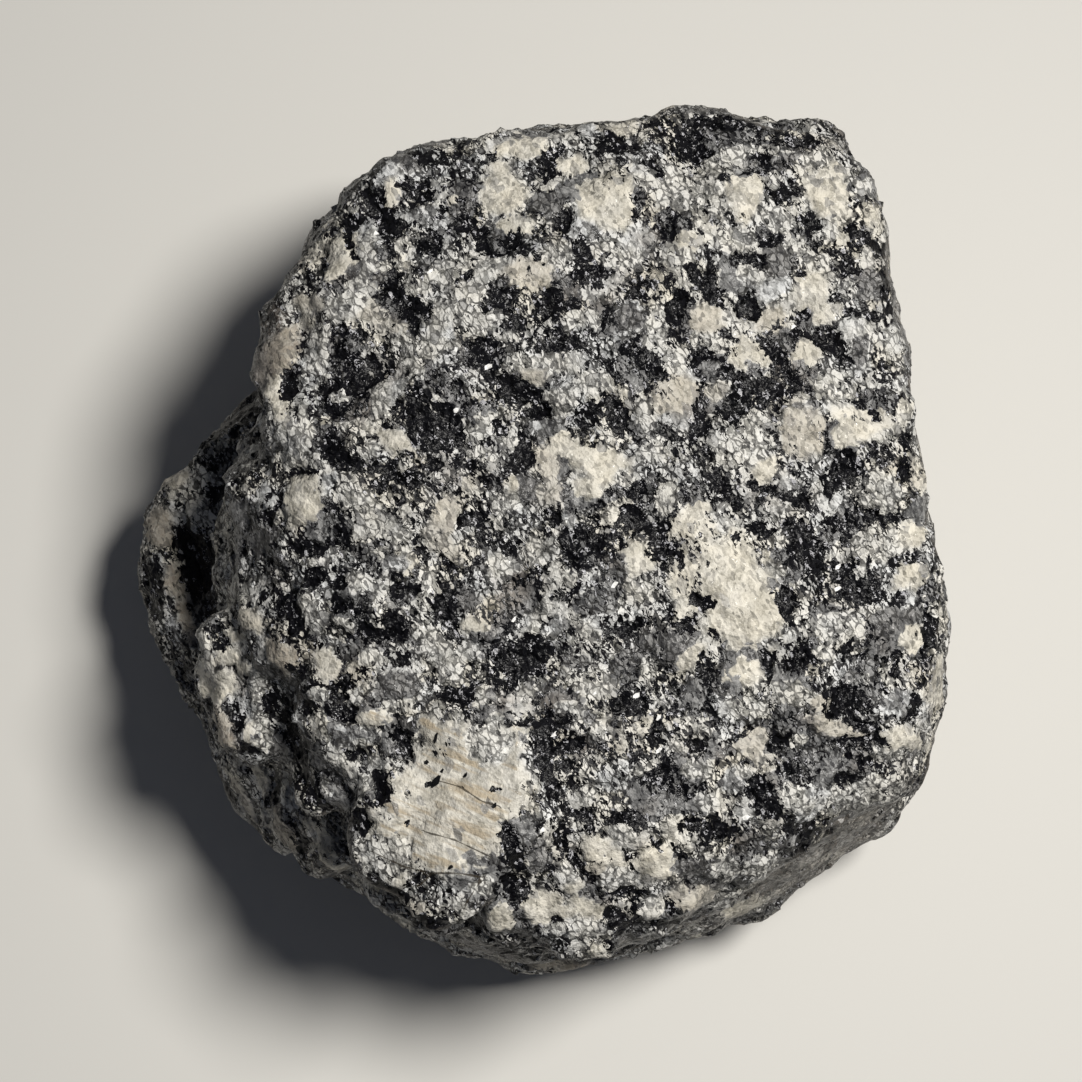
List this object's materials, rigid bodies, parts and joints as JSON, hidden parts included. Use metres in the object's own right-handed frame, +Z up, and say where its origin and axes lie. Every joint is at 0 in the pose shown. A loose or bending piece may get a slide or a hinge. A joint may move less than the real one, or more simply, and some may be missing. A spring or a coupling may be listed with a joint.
{
  "type": "granodiorite cobble",
  "caption": "Rough hand-sized cobble of speckled grey rock with large pale crystals, a lower shoulder on one side and a small flat resting spot underneath.",
  "frame": {"origin": "centre of the bounding box, on the surface that the stone lies on", "axes": "+Z up; +Y along the longest extent, towards the far side as seen from the front; +X to the right, away from the lower shoulder"},
  "size_m": [0.0902, 0.0963, 0.051],
  "materials": {
    "granodiorite": "rough, broken, speckled black and white, weathered grey-brown on the sides"
  },
  "bodies": {
    "root": {"granodiorite_cobble": "granodiorite"}
  },
  "joints": []
}
